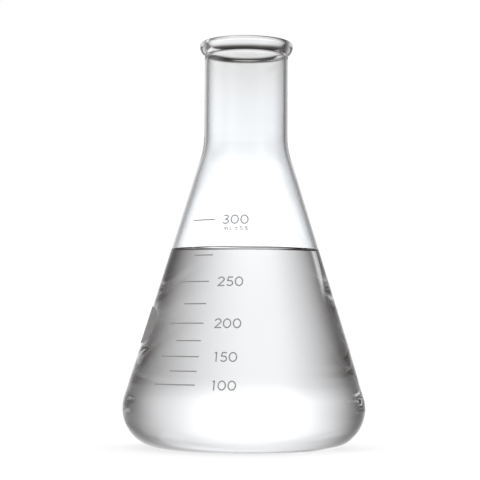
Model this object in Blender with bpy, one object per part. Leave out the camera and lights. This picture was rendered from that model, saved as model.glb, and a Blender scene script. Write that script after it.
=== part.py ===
"""Erlenmeyer flask, part full of water, with its fired-on enamel scale.

Lengths are metres, angles radians and volumes cubic metres.  +Z is up and the
origin is the centre of the ring that the flask stands on.  The scale faces -Y.
Every sub-part is an object of its own: the blown glass, the water, each line
and each character of the scale, and the oval marking spot.
"""

import math

import bpy
import bmesh
from mathutils import Vector
from mathutils.geometry import delaunay_2d_cdt

# ---------------------------------------------------------------- glass body
HEIGHT = 0.1460                        # standing ring to the top of the rim
BODY_DIAMETER = 0.0872                 # outside, at the widest place of the heel
NECK_DIAMETER = 0.0302                 # outside of the straight neck
CONE_HALF_ANGLE = math.radians(17.34)  # between the cone's wall and the axis
HEEL_RADIUS = 0.0142                   # outer rounding between cone and base
SHOULDER_RADIUS = 0.0282               # outer rounding between cone and neck
NECK_WALL = 0.00125
CONE_WALL = 0.0011
BASE_THICKNESS = 0.0028
INNER_HEEL_RADIUS = 0.0122
STANDING_RING_WIDTH = 0.0050           # flat ring that touches the bench
BASE_RISE = 0.0008                     # how far the base's middle is pushed up
RIM_BEAD_OVERHANG = 0.00175            # how far the bead stands out of the neck
RIM_BEAD_HEIGHT = 0.0049               # from where it leaves the neck to the top

# --------------------------------------------------------------------- water
WATER_LEVEL = 0.0689
WATER_GAP = 0.0003                     # clearance between water and glass
MENISCUS_RISE = 0.0017                 # how far the water climbs at the wall
MENISCUS_REACH = 0.0018                # distance in which that climb fades

# --------------------------------------------------------------------- scale
BELOW_NECK_READING = 317.6             # millilitres that the scale gives the whole body
TOP_MARK = 300                         # in millilitres, as printed
BOTTOM_MARK = 100
MARK_STEP = 25
NUMBERED_STEP = 50                     # every second line has a number
SCALE_TRUE_AT = 141                    # the approximate scale is right here
SCALE_DRIFT = -0.099                   # and wrong by this share away from it
TOP_MARK_LIFT = 0.0007                 # the top line is printed this much high
ENAMEL_GAP = 0.0003                    # clearance between enamel and glass
ENAMEL_THICKNESS = 0.00015
LINE_WIDTH = 0.00042
LINE_END = math.radians(-23.5)         # azimuth where all lines end
LONG_LINE_START = math.radians(-47.3)
SHORT_LINE_START = math.radians(-39.3)
TOP_LINE_TURN = math.radians(-2.5)     # the top line is printed further round
NUMBER_AZIMUTH = math.radians(-9.4)
TOP_NUMBER_AZIMUTH = math.radians(-8.0)
DIGIT_HEIGHT = 0.00348
DIGIT_STROKE = 0.00043
DIGIT_SPACE = 0.00050                  # clear space between two digits
UNIT_HEIGHT = 0.00142                  # the small characters below the top number
UNIT_STROKE = 0.00021
UNIT_SPACE = 0.00064
UNIT_WORD_SPACE = 0.00107
UNIT_DROP = 0.0033                     # from the number's middle to theirs, up the wall
UNIT_AZIMUTH = math.radians(-7.6)

# -------------------------------------------------------------- marking spot
SPOT_HEIGHT = 0.0137                   # measured up the wall
SPOT_WIDTH = 0.0262                    # measured round the wall
SPOT_LEVEL = 0.0436
SPOT_AZIMUTH = math.radians(-84.5)
SPOT_SQUARENESS = 2.7                  # 2 is an ellipse, more has blunter ends

# --------------------------------------------------------------- smoothness
TURN_STEPS = 48                        # facets round the axis, a multiple of four
HEEL_FACET = math.radians(13.0)        # longest facets along the profile
SHOULDER_FACET = math.radians(4.5)
BEAD_FACET = math.radians(23.0)
BASE_STEPS = 4
MENISCUS_STEPS = 4
LINE_FACET = math.radians(3.0)         # longest facet along a scale line
SPOT_STEPS = 16
DIGIT_ARC_STEP = math.radians(24.0)    # longest facet of a round stroke
BISECTIONS = 50

# ------------------------------------------------------------------ finishes
GLASS = ("clear_glass", (0.94, 0.96, 0.96, 1.0), 0.02)
WATER = ("clear_water", (0.90, 0.92, 0.92, 1.0), 0.01)
ENAMEL = ("grey_enamel", (0.30, 0.295, 0.285, 1.0), 0.45)
SPOT_ENAMEL = ("spot_enamel", (0.25, 0.245, 0.24, 1.0), 0.55)

SIN_CONE = math.sin(CONE_HALF_ANGLE)
COS_CONE = math.cos(CONE_HALF_ANGLE)
TAN_CONE = math.tan(CONE_HALF_ANGLE)
BODY_RADIUS = BODY_DIAMETER / 2
NECK_RADIUS = NECK_DIAMETER / 2
HEEL_CENTRE_R = BODY_RADIUS - HEEL_RADIUS
CONE_FOOT_R = HEEL_CENTRE_R + HEEL_RADIUS * COS_CONE
CONE_FOOT_Z = HEEL_RADIUS * (1 + SIN_CONE)


# ------------------------------------------------------------ turned profiles
def arc(centre, radius, stops, facet):
    """Points of a round stretch of a profile; every angle in stops gets a point."""
    angles = [stops[0]]
    for start, end in zip(stops, stops[1:]):
        steps = math.ceil(abs(end - start) / facet)
        angles += [start + (end - start) * step / steps for step in range(1, steps + 1)]
    points = []
    for angle in angles:
        points.append((centre[0] + radius * math.cos(angle), centre[1] + radius * math.sin(angle)))
    return points


def heel(centre, radius):
    """Rounding from the flat base, past the widest place, to the cone."""
    return arc(centre, radius, [-math.pi / 2, 0.0, CONE_HALF_ANGLE], HEEL_FACET)


def cone_radius(height):
    """Outer radius of the straight cone at a height."""
    return CONE_FOOT_R - (height - CONE_FOOT_Z) * TAN_CONE


def shoulder(neck_radius, radius, inset):
    """Rounding from the cone, set in by a wall, to a neck of a given radius."""
    centre_r = neck_radius + radius
    reach = radius - inset - COS_CONE * (centre_r - CONE_FOOT_R)
    centre_z = CONE_FOOT_Z + reach / SIN_CONE
    stops = [math.pi + CONE_HALF_ANGLE, math.pi]
    return arc((centre_r, centre_z), radius, stops, SHOULDER_FACET)


def pushed_up(radius, edge_radius):
    """Rise of the base at a radius, fading to nothing at edge_radius."""
    share = min(radius / edge_radius, 1.0)
    return BASE_RISE * (1 - share * share) ** 2


def underside():
    """Bottom of the glass from the axis to the inner edge of the standing ring."""
    edge = HEEL_CENTRE_R - STANDING_RING_WIDTH
    radii = [edge * index / BASE_STEPS for index in range(BASE_STEPS + 1)]
    return [(radius, pushed_up(radius, edge)) for radius in radii]


def rim():
    """The bead: out from the neck on a slant, round its top and into the mouth."""
    mouth_radius = NECK_RADIUS - NECK_WALL
    radius = (NECK_WALL + RIM_BEAD_OVERHANG) / 2
    centre_r = mouth_radius + radius
    centre_z = HEIGHT - radius
    rise = RIM_BEAD_HEIGHT - radius
    lean = math.atan2(centre_r - NECK_RADIUS, rise)
    spread = math.asin(radius / math.hypot(centre_r - NECK_RADIUS, rise))
    stops = [-(lean + spread), 0.0, math.pi / 2, math.pi]
    return arc((centre_r, centre_z), radius, stops, BEAD_FACET)


def outer_wall():
    """Outside of the glass, from the standing ring to the foot of the bead."""
    foot = heel((HEEL_CENTRE_R, HEEL_RADIUS), HEEL_RADIUS)
    neck_end = [(NECK_RADIUS, HEIGHT - RIM_BEAD_HEIGHT)]
    return foot + shoulder(NECK_RADIUS, SHOULDER_RADIUS, 0.0) + neck_end


def inner_wall(clearance):
    """Inside of the glass from the axis to the neck, set in by a clearance."""
    floor = BASE_THICKNESS + clearance
    radius = INNER_HEEL_RADIUS - clearance
    inset = CONE_WALL + clearance
    reach = radius + inset + SIN_CONE * (floor + radius - CONE_FOOT_Z)
    centre_r = CONE_FOOT_R - reach / COS_CONE
    radii = [centre_r * index / BASE_STEPS for index in range(BASE_STEPS)]
    base = [(step, floor + pushed_up(step, centre_r)) for step in radii]
    corner = heel((centre_r, floor + radius), radius)
    neck_radius = NECK_RADIUS - NECK_WALL - clearance
    return base + corner + shoulder(neck_radius, SHOULDER_RADIUS + inset, inset)


def crossing(start, end, level):
    """Where a stretch of a profile passes a height."""
    share = (level - start[1]) / (end[1] - start[1])
    return start[0] + (end[0] - start[0]) * share, level


def up_to(profile, level):
    """The part of a rising profile below a height, ended exactly at it."""
    kept = []
    for start, end in zip(profile, profile[1:]):
        kept.append(start)
        if start[1] < level <= end[1]:
            kept.append(crossing(start, end, level))
            break
    else:
        kept.append(profile[-1])
    return kept


def water_profile():
    """Water from the axis below, out along the glass and back over its surface."""
    wall = up_to(inner_wall(WATER_GAP), WATER_LEVEL + MENISCUS_RISE)
    edge = wall[-1][0]
    surface = []
    for index in range(1, MENISCUS_STEPS + 1):
        inward = MENISCUS_REACH * index
        rise = MENISCUS_RISE * math.exp(-inward / MENISCUS_REACH)
        surface.append((edge - inward, WATER_LEVEL + rise))
    surface[-1] = (surface[-1][0], WATER_LEVEL)
    return wall + surface + [(0.0, WATER_LEVEL)]


def contents(level):
    """Volume that the flask holds up to a height, or up to its neck if that is lower."""
    total = 0.0
    wall = up_to(inner_wall(0.0), level)
    for (low_r, low_z), (high_r, high_z) in zip(wall, wall[1:]):
        mean_square = (low_r * low_r + low_r * high_r + high_r * high_r) / 3
        total += math.pi * (high_z - low_z) * mean_square
    return total


def mark_height(reading):
    """Height of the scale line that is printed for a reading in millilitres."""
    low = BASE_THICKNESS + BASE_RISE
    high = HEIGHT - RIM_BEAD_HEIGHT
    true_reading = reading + SCALE_DRIFT * (reading - SCALE_TRUE_AT)
    volume = contents(high) * true_reading / BELOW_NECK_READING
    for _ in range(BISECTIONS):
        middle = (low + high) / 2
        if contents(middle) < volume:
            low = middle
        else:
            high = middle
    if reading == TOP_MARK:
        return middle + TOP_MARK_LIFT
    return middle


# -------------------------------------------------------------- flat lettering
def ellipse_arc(centre, radii, start, end):
    """Points along a round stroke, angles in degrees, counted anticlockwise."""
    sweep = math.radians(end - start)
    steps = max(2, math.ceil(abs(sweep) / DIGIT_ARC_STEP))
    points = []
    for index in range(steps + 1):
        angle = math.radians(start) + sweep * index / steps
        x = centre[0] + radii[0] * math.cos(angle)
        y = centre[1] + radii[1] * math.sin(angle)
        points.append((x, y))
    return points


def ring(centre, radii):
    """A closed round stroke; its first point is repeated at its end."""
    points = ellipse_arc(centre, radii, 0, 360)
    return points[:-1] + points[:1]


def glyph(name, pen):
    """Width and pen strokes of one character, for a height of 1 and a pen width."""
    half = pen / 2
    top = 1 - half
    if name == "0":
        width = 0.83
        strokes = [ring((width / 2, 0.5), (width / 2 - half, 0.5 - half))]
    elif name == "1":
        width = 0.27
        strokes = [[(width - half, 0), (width - half, 1)], [(0.02, 0.88), (width - half, top)]]
    elif name == "2":
        width = 0.71
        bowl = ellipse_arc((0.36, 0.70), (0.29, 0.30 - half), 172, -48)
        strokes = [bowl + [(0.09, half)], [(0.02, half), (width, half)]]
    elif name == "3":
        width = 0.62
        upper = ellipse_arc((0.29, 0.745), (0.22, 0.255 - half), 150, -90)
        lower = ellipse_arc((0.27, 0.275), (width - 0.27 - half, 0.275 - half), 90, -155)
        strokes = [upper, [(0.20, 0.52), (0.32, 0.52)], lower]
    elif name == "5":
        width = 0.72
        bowl = ellipse_arc((0.36, 0.32), (width - 0.36 - half, 0.32 - half), 128, -150)
        strokes = [[(0.68, top), (0.24, top)], [(0.25, 1), (0.25 - 0.11, 0.53)], bowl]
    elif name == "m":
        width = 1.0
        body = 0.70
        first = ellipse_arc((0.27, body - 0.20), (0.27 - half, 0.20 - half), 180, 0)
        second = ellipse_arc((width - 0.27, body - 0.20), (0.27 - half, 0.20 - half), 180, 0)
        strokes = [[(half, 0), (half, body)], first + [(0.54 - half, 0)]]
        strokes.append([(width - 0.54 + half, 0)] + second + [(width - half, 0)])
    elif name == "L":
        width = 0.50
        strokes = [[(half, 1), (half, half), (width, half)]]
    elif name == "plus":
        width = 0.62
        strokes = [[(0, 0.62), (width, 0.62)], [(width / 2, 0.31), (width / 2, 0.93)]]
    elif name == "bar":
        width = 0.62
        strokes = [[(0, half), (width, half)]]
    elif name == "slash":
        width = 0.56
        strokes = [[(0, 0), (width, 1)]]
    else:
        width = 0.40
        strokes = [ring((width / 2, width / 2), (width / 2 - half, width / 2 - half))]
    return width, strokes


def ribbon(path, width):
    """A pen stroke as a row of quads on both sides of its path."""
    points = [Vector(point) for point in path]
    closed = (points[0] - points[-1]).length < width * 0.01
    last = len(points) - 1
    sides = []
    for index, point in enumerate(points):
        before = points[index - 1] if index else (points[last - 1] if closed else None)
        after = points[index + 1] if index < last else (points[1] if closed else None)
        directions = []
        if before is not None:
            directions.append((point - before).normalized())
        if after is not None:
            directions.append((after - point).normalized())
        heading = sum(directions, Vector((0, 0))).normalized()
        across = Vector((-heading.y, heading.x))
        mitre = width / 2 / heading.dot(directions[0])
        sides.append((point + across * mitre, point - across * mitre))
    quads = []
    for (left, right), (next_left, next_right) in zip(sides, sides[1:]):
        quads.append([left, right, next_right, next_left])
    return quads


def outlined(quads):
    """One flat triangulated shape out of quads that may overlap."""
    corners = []
    faces = []
    for quad in quads:
        faces.append(list(range(len(corners), len(corners) + len(quad))))
        corners.extend(quad)
    result = delaunay_2d_cdt(corners, [], faces, 1, 1e-8)
    points, triangles, sources = result[0], result[2], result[5]
    kept = [tri for tri, source in zip(triangles, sources) if source]
    return points, kept


# --------------------------------------------------------------- making solids
def material(finish):
    """A plain material for one finish, made once."""
    name, colour, roughness = finish
    existing = bpy.data.materials.get(name)
    if existing:
        return existing
    made = bpy.data.materials.new(name)
    made.use_nodes = True
    shader = made.node_tree.nodes["Principled BSDF"]
    shader.inputs["Base Color"].default_value = colour
    shader.inputs["Roughness"].default_value = roughness
    shader.inputs["Metallic"].default_value = 0.0
    made.diffuse_color = colour
    return made


def add_object(name, mesh, finish, parent):
    """Put a finished mesh into the scene under the flask's empty."""
    obj = bpy.data.objects.new(name, mesh)
    mesh.materials.append(material(finish))
    bpy.context.scene.collection.objects.link(obj)
    obj.parent = parent
    return obj


def turned(name, profile, finish, parent):
    """A solid of revolution whose profile starts and ends on the axis."""
    shape = bmesh.new()
    verts = [shape.verts.new((radius, 0, height)) for radius, height in profile]
    edges = [shape.edges.new(pair) for pair in zip(verts, verts[1:])]
    bmesh.ops.spin(
        shape,
        geom=verts + edges,
        axis=(0, 0, 1),
        cent=(0, 0, 0),
        angle=2 * math.pi,
        steps=TURN_STEPS,
        use_merge=True,
    )
    bmesh.ops.remove_doubles(shape, verts=shape.verts, dist=1e-6)
    bmesh.ops.recalc_face_normals(shape, faces=shape.faces)
    mesh = bpy.data.meshes.new(name)
    shape.to_mesh(mesh)
    shape.free()
    mesh.shade_smooth()
    mesh.set_sharp_from_angle(angle=math.radians(40))
    return add_object(name, mesh, finish, parent)


def on_cone(point, depth, radius):
    """Bend a flat point onto the cone: x runs round it, y up it, depth off it."""
    azimuth = point[0] / radius
    reach = radius - point[1] * SIN_CONE + depth * COS_CONE
    height = point[1] * COS_CONE + depth * SIN_CONE
    return reach * math.sin(azimuth), -reach * math.cos(azimuth), height


def enamel(name, quads, place, finish, parent):
    """A thin layer in the shape of flat quads, at a height and an azimuth."""
    height, azimuth = place
    radius = cone_radius(height)
    points, triangles = outlined(quads)
    shape = bmesh.new()
    outer = [shape.verts.new(on_cone(p, ENAMEL_GAP + ENAMEL_THICKNESS, radius)) for p in points]
    inner = [shape.verts.new(on_cone(p, ENAMEL_GAP, radius)) for p in points]
    used = {}
    for tri in triangles:
        shape.faces.new([outer[index] for index in tri])
        shape.faces.new([inner[index] for index in reversed(tri)])
        for start, end in zip(tri, tri[1:] + tri[:1]):
            used[(start, end)] = True
    for start, end in used:
        if (end, start) not in used:
            shape.faces.new([outer[end], outer[start], inner[start], inner[end]])
    loose = [vert for vert in shape.verts if not vert.link_faces]
    bmesh.ops.delete(shape, geom=loose, context="VERTS")
    bmesh.ops.recalc_face_normals(shape, faces=shape.faces)
    mesh = bpy.data.meshes.new(name)
    shape.to_mesh(mesh)
    shape.free()
    obj = add_object(name, mesh, finish, parent)
    obj.location = (0, 0, height)
    obj.rotation_euler = (0, 0, azimuth)
    return obj


def character_quads(name, height, stroke, left, base):
    """Quads of one character whose lower left corner is at (left, base)."""
    width, strokes = glyph(name, stroke / height)
    quads = []
    for path in strokes:
        placed = [(left + x * height, base + y * height) for x, y in path]
        quads += ribbon(placed, stroke)
    return quads, width * height


# ------------------------------------------------------------------ sub-parts
def add_glass(parent):
    """The blown glass: base, heel, cone, neck and rim bead in one piece."""
    neck_and_in = list(reversed(inner_wall(0.0)))
    profile = underside() + outer_wall() + rim() + neck_and_in
    turned("flask_body", profile, GLASS, parent)


def add_water(parent):
    """The water, with the curve that it climbs the wall by."""
    turned("water", water_profile(), WATER, parent)


def add_line(reading, parent):
    """One line of the scale; the lines with a number are longer."""
    start = SHORT_LINE_START if reading % NUMBERED_STEP else LONG_LINE_START
    turn = TOP_LINE_TURN if reading == TOP_MARK else 0.0
    height = mark_height(reading)
    half = (LINE_END - start) / 2 * cone_radius(height)
    steps = math.ceil((LINE_END - start) / LINE_FACET)
    path = [(-half + 2 * half * index / steps, 0) for index in range(steps + 1)]
    azimuth = (start + LINE_END) / 2 + turn
    name = "line_" + str(reading) + "_ml"
    enamel(name, ribbon(path, LINE_WIDTH), (height, azimuth), ENAMEL, parent)


def add_number(reading, parent):
    """The three digits of a numbered line, centred on its height."""
    height = mark_height(reading)
    azimuth = TOP_NUMBER_AZIMUTH if reading == TOP_MARK else NUMBER_AZIMUTH
    digits = str(reading)
    pen = DIGIT_STROKE / DIGIT_HEIGHT
    widths = [glyph(digit, pen)[0] * DIGIT_HEIGHT for digit in digits]
    spaces = [DIGIT_SPACE * (2 if digit == "1" else 1) for digit in digits[:-1]] + [0.0]
    left = -(sum(widths) + sum(spaces)) / 2
    for digit, place, width, space in zip(digits, ("hundreds", "tens", "units"), widths, spaces):
        quads, _ = character_quads(digit, DIGIT_HEIGHT, DIGIT_STROKE, left, -DIGIT_HEIGHT / 2)
        name = "digit_" + digits + "_" + place
        enamel(name, quads, (height, azimuth), ENAMEL, parent)
        left += width + space


def add_unit(parent):
    """The small characters below the top number: mL and a tolerance of 5 %."""
    height = mark_height(TOP_MARK)
    base = -UNIT_DROP - UNIT_HEIGHT / 2
    pen = UNIT_STROKE / UNIT_HEIGHT
    ring_size = glyph("ring", pen)[0] * UNIT_HEIGHT
    slash = glyph("slash", pen)[0] * UNIT_HEIGHT
    overlap = ring_size * 0.30
    rows = [
        ("unit_m", "m", 0.0, 0.0, UNIT_SPACE),
        ("unit_l", "L", 0.0, 0.0, UNIT_WORD_SPACE),
        ("tolerance_plus", "plus", 0.0, 0.0, None),
        ("tolerance_minus", "bar", 0.0, 0.0, UNIT_SPACE),
        ("tolerance_5", "5", 0.0, 0.0, UNIT_SPACE),
        ("percent_ring_upper", "ring", 0.0, UNIT_HEIGHT - ring_size, None),
        ("percent_slash", "slash", overlap, 0.0, None),
        ("percent_ring_lower", "ring", slash + 2 * overlap - ring_size, 0.0, 0.0),
    ]
    left = -(total_unit_width(rows, pen)) / 2
    for name, character, shift, lift, space in rows:
        start = left + shift
        quads, width = character_quads(character, UNIT_HEIGHT, UNIT_STROKE, start, base + lift)
        enamel(name, quads, (height, UNIT_AZIMUTH), ENAMEL, parent)
        if space is not None:
            left += width + space


def total_unit_width(rows, pen):
    """Width of the small characters with the spaces between them."""
    total = 0.0
    for _, character, shift, _, space in rows:
        if space is not None:
            total += shift + glyph(character, pen)[0] * UNIT_HEIGHT + space
    return total


def add_spot(parent):
    """The oval patch of enamel that is written on in pencil."""
    half_width = SPOT_WIDTH / 2
    half_height = SPOT_HEIGHT / 2
    columns = []
    for index in range(SPOT_STEPS + 1):
        angle = math.pi * index / SPOT_STEPS
        across = -math.cos(angle)
        up = (1 - abs(across) ** SPOT_SQUARENESS) ** (1 / SPOT_SQUARENESS)
        columns.append((half_width * across, half_height * up))
    quads = []
    for (x, y), (next_x, next_y) in zip(columns, columns[1:]):
        corners = [(x, -y), (next_x, -next_y), (next_x, next_y), (x, y)]
        unique = [corner for slot, corner in enumerate(corners) if corner not in corners[:slot]]
        quads.append([Vector(corner) for corner in unique])
    enamel("marking_spot", quads, (SPOT_LEVEL, SPOT_AZIMUTH), SPOT_ENAMEL, parent)


def main():
    """Clear the scene and build the flask."""
    for obj in list(bpy.data.objects):
        bpy.data.objects.remove(obj, do_unlink=True)
    parent = bpy.data.objects.new("flask", None)
    bpy.context.scene.collection.objects.link(parent)
    add_glass(parent)
    add_water(parent)
    for reading in range(BOTTOM_MARK, TOP_MARK + 1, MARK_STEP):
        add_line(reading, parent)
        if reading % NUMBERED_STEP == 0:
            add_number(reading, parent)
    add_unit(parent)
    add_spot(parent)


main()
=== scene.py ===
"""Erlenmeyer flask part full of water, with its fired-on enamel scale.

Lengths are metres and angles radians, unless a docstring says degrees.  +Z is up, the
origin is the centre of the ring that the flask stands on, and the scale faces -Y.
Azimuths on the flask count from -Y towards +X, and those of the studio from +Y towards +X.
"""

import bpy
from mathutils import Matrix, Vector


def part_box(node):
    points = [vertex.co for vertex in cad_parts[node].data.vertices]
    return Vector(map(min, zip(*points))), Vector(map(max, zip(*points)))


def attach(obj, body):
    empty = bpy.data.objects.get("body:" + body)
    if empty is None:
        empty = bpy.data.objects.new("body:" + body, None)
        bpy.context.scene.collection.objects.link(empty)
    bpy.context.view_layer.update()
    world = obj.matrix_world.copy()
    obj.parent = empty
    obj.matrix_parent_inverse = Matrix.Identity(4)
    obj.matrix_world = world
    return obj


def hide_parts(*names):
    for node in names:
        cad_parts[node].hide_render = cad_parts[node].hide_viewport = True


bl_info = {
    "name": "Erlenmeyer flask",
    "version": (1, 0, 0),
    "blender": (4, 5, 0),
    "location": "3D View > Sidebar > Flask",
    "description": "Makes a conical flask with its water, its printed scale and a studio",
    "category": "Add Mesh",
}

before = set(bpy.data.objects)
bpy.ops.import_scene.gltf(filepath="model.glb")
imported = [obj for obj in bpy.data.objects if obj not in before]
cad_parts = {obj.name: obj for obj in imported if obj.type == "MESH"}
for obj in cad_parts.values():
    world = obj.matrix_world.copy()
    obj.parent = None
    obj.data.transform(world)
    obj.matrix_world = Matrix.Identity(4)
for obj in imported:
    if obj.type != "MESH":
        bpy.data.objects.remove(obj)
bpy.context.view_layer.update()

import math

import bmesh
import bpy
from bpy.props import (
    FloatProperty,
    FloatVectorProperty,
    IntProperty,
    PointerProperty,
)
from mathutils import Matrix, Vector
from mathutils.geometry import delaunay_2d_cdt

GLASS_LOW, GLASS_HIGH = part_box("flask_body")
READINGS = range(100, 301, 25)
TOP_READING = 300
NUMBERED_STEP = 50
PLACES = ("hundreds", "tens", "units")
BELOW_NECK_READING = 317.6
WHITE = (1.0, 1.0, 1.0, 1.0)

# Refractive index of what lies behind a face over that of what lies before it.  The wet
# faces of the glass make the whole step between glass and water, so the water's own
# faces against the glass don't bend light.
GLASS_IN_AIR = 1.473
GLASS_IN_WATER = 1.105
WATER_IN_AIR = 1.333
WATER_AT_GLASS = 1.0

# Fineness of the shapes: facets of the roundings and pieces of the walls.
HEEL_FACET = math.radians(3.0)
SHOULDER_FACET = math.radians(1.5)
BEAD_FACET = math.radians(6.0)
STROKE_FACET = math.radians(7.0)
BASE_STEPS = 16
WALL_STEP = 0.0015

# Distances under which two heights, two points of a print or two turned points are one.
SAME_HEIGHT = 1e-6
SAME_FLAT_POINT = 1e-8
SAME_TURNED_POINT = 2e-6

# Angles past which an enamel coat has a sharp edge.
PRINT_CREASE = math.radians(40)
LINE_CREASE = math.radians(50)

# Clear gaps that keep touching pieces apart.
WATER_GAP = 0.00002
ENAMEL_LIFT = 0.00002
FLOOR_DROP = 0.00005

# Size of the grains in each enamel, and of the raggedness of a printed line.
SCALE_GRAIN = 0.00022
SPOT_GRAIN = 0.00045
LINE_GRAIN = 0.0009

# Azimuths of the studio's panels, in degrees.
AHEAD = -2.8
LEFT = -90.0
AHEAD_LEFT = -45.0
BACK_RIGHT = 135.0


def length(label, about, default):
    """A length setting, in metres."""
    return FloatProperty(
        name=label, description=about, default=default, subtype="DISTANCE", unit="LENGTH",
        precision=5,
    )


def angle(label, about, degrees):
    """An angle setting, given in degrees and kept in radians."""
    return FloatProperty(
        name=label, description=about, default=math.radians(degrees), subtype="ANGLE",
        unit="ROTATION",
    )


def colour(label, about, default):
    """A colour setting."""
    return FloatVectorProperty(
        name=label, description=about, default=default, subtype="COLOR", size=3,
        min=0.0, max=1.0,
    )


# --------------------------------------------------------------------- settings
class FLASK_PG_glass(bpy.types.PropertyGroup):
    """Sizes and finish of the blown glass."""

    height: length("Height", "From the bench to the top of the rim", GLASS_HIGH.z)
    body_diameter: length(
        "Body diameter", "Outside, at the widest place", GLASS_HIGH.x - GLASS_LOW.x
    )
    neck_diameter: length("Neck diameter", "Outside of the straight neck", 0.0302)
    cone_angle: angle("Cone angle", "Between the cone's wall and the axis", 17.34)
    heel_radius: length("Heel radius", "Outer rounding above the base", 0.0142)
    shoulder_radius: length("Shoulder radius", "Outer rounding below the neck", 0.0282)
    neck_wall: length("Neck wall", "Thickness of the neck", 0.00125)
    cone_wall: length("Cone wall", "Thickness of the cone", 0.0011)
    base_thickness: length("Base thickness", "Thickness of the base", 0.0028)
    inner_heel_radius: length("Inner heel radius", "Rounding inside the base", 0.0122)
    ring_width: length("Standing ring", "Width of the ring that the flask stands on", 0.0050)
    base_rise: length("Base rise", "How far the middle of the base is pushed up", 0.0008)
    bead_overhang: length("Bead overhang", "How far the rim stands out of the neck", 0.00175)
    bead_height: length("Bead height", "From the foot of the rim to its top", 0.0049)
    wave_height: length("Wave height", "Height of the waves inside the glass", 0.00006)
    wave_size: length("Wave size", "Distance between the waves", 0.018)
    ripple_height: length("Ripple height", "Depth of the rings round the heel", 0.00022)
    ripple_size: length("Ripple size", "Distance between those rings", 0.0085)
    turn_steps: IntProperty(name="Turn steps", description="Facets round the axis", default=240)
    tint: colour("Tint", "Colour of the clear glass", (0.975, 0.985, 0.985))


class FLASK_PG_water(bpy.types.PropertyGroup):
    """Level and finish of the water."""

    level: length("Level", "Height of the flat surface above the bench", 0.0689)
    meniscus_rise: length("Meniscus rise", "How far the water climbs the glass", 0.0017)
    meniscus_reach: length("Meniscus reach", "Distance in which the climb fades", 0.0018)
    tint: colour("Tint", "Colour of the water", (0.98, 0.975, 0.965))


class FLASK_PG_scale(bpy.types.PropertyGroup):
    """Sizes, places and finish of the printed scale."""

    line_width: length("Line width", "Width of a line", 0.00042)
    thickness: length("Thickness", "Thickness of the fired enamel", 0.00005)
    line_end: angle("Line end", "Azimuth where all lines end", -23.5)
    long_start: angle("Long line start", "Azimuth where the numbered lines start", -47.3)
    short_start: angle("Short line start", "Azimuth where the other lines start", -39.3)
    top_turn: angle("Top line turn", "How far round the top line is printed", -2.5)
    number_azimuth: angle("Number azimuth", "Middle of the numbers", -9.4)
    top_number_azimuth: angle("Top number azimuth", "Middle of the top number", -8.0)
    digit_height: length("Digit height", "Height of the digits", 0.00348)
    digit_stroke: length("Digit stroke", "Width of the strokes of a digit", 0.00043)
    digit_space: length("Digit space", "Clear space between two digits", 0.00050)
    unit_height: length("Unit height", "Height of the small characters", 0.00142)
    unit_stroke: length("Unit stroke", "Width of their strokes", 0.00021)
    unit_space: length("Unit space", "Clear space between small characters", 0.00064)
    unit_word_space: length("Unit word space", "Space after the unit", 0.00107)
    unit_drop: length("Unit drop", "From the number's middle down to theirs", 0.0033)
    unit_azimuth: angle("Unit azimuth", "Middle of the small characters", -7.6)
    true_at: FloatProperty(
        name="True at", description="Millilitres at which the scale is right", default=141.0
    )
    drift: FloatProperty(
        name="Drift", description="Share by which the scale is wrong away from there",
        default=-0.099,
    )
    top_lift: length("Top line lift", "How far the top line is printed too high", 0.0007)
    enamel: colour("Enamel", "Colour of the lines and numbers", (0.30, 0.295, 0.285))


class FLASK_PG_spot(bpy.types.PropertyGroup):
    """Size, place and finish of the marking spot."""

    height: length("Height", "Measured up the wall", 0.0137)
    width: length("Width", "Measured round the wall", 0.0262)
    level: length("Level", "Height of its middle above the bench", 0.0436)
    azimuth: angle("Azimuth", "Where its middle is", -84.5)
    squareness: FloatProperty(
        name="Squareness", description="2 is an ellipse, more has blunter ends", default=2.7
    )
    thickness: length("Thickness", "Thickness of the fired enamel", 0.00005)
    enamel: colour("Enamel", "Colour of the spot", (0.25, 0.245, 0.24))


class FLASK_PG_stage(bpy.types.PropertyGroup):
    """Floor, light and camera."""

    floor: colour("Floor", "Colour of the floor", (0.93, 0.93, 0.93))
    floor_radius: length("Floor radius", "Size of the floor", 6.0)
    backdrop: FloatProperty(
        name="Backdrop", description="Brightness of the lit panels", default=1.06
    )
    panel: colour("Panel", "Colour of the lit panels", (0.965, 0.970, 1.0))
    shade: colour("Shade", "Colour of the room between the panels", (0.112, 0.101, 0.097))
    ambient: FloatProperty(
        name="Ambient", description="Brightness of the room on dull surfaces", default=1.02
    )
    lens: FloatProperty(name="Lens", description="Focal length in millimetres", default=124.1)
    distance: length("Distance", "From the axis to the camera", 0.5947)
    camera_height: length("Camera height", "Above the floor", 0.0381)
    pitch: angle("Pitch", "How far the camera looks up", 3.49)
    yaw: angle("Yaw", "How far the camera looks left", 0.1785)
    roll: angle("Roll", "How far the camera is turned about its own axis", 0.395)


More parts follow.
